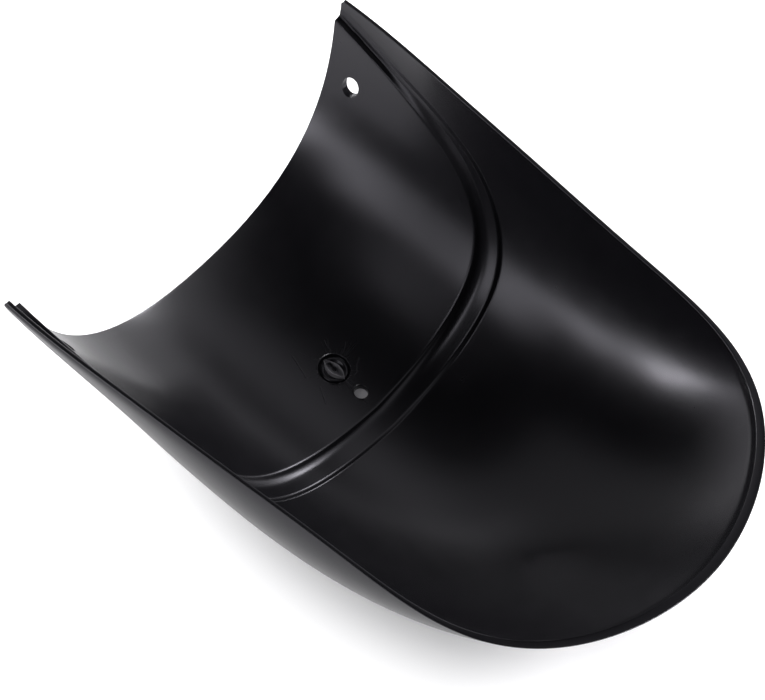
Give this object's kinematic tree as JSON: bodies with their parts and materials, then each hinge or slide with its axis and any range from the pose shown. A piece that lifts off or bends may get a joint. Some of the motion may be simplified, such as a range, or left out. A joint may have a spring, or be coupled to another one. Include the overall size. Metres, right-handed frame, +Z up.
{
  "type": "front fender extension",
  "caption": "Curved trough-shaped black plastic extension for a motorcycle front fender, with a joggled tongue that tucks into the fender and a rounded free tip.",
  "frame": {"origin": "middle of the bounding box's base, on the floor the shell lies on", "axes": "+X from the open mouth towards the rounded tip, +Y across, +Z up, with the shell lying on its convex back"},
  "size_m": [0.2048, 0.1486, 0.0659],
  "materials": {
    "moulded_plastic": "satin black injection-moulded plastic, finely grained outside"
  },
  "bodies": {
    "root": {"fender_extension": "moulded_plastic"}
  },
  "joints": []
}
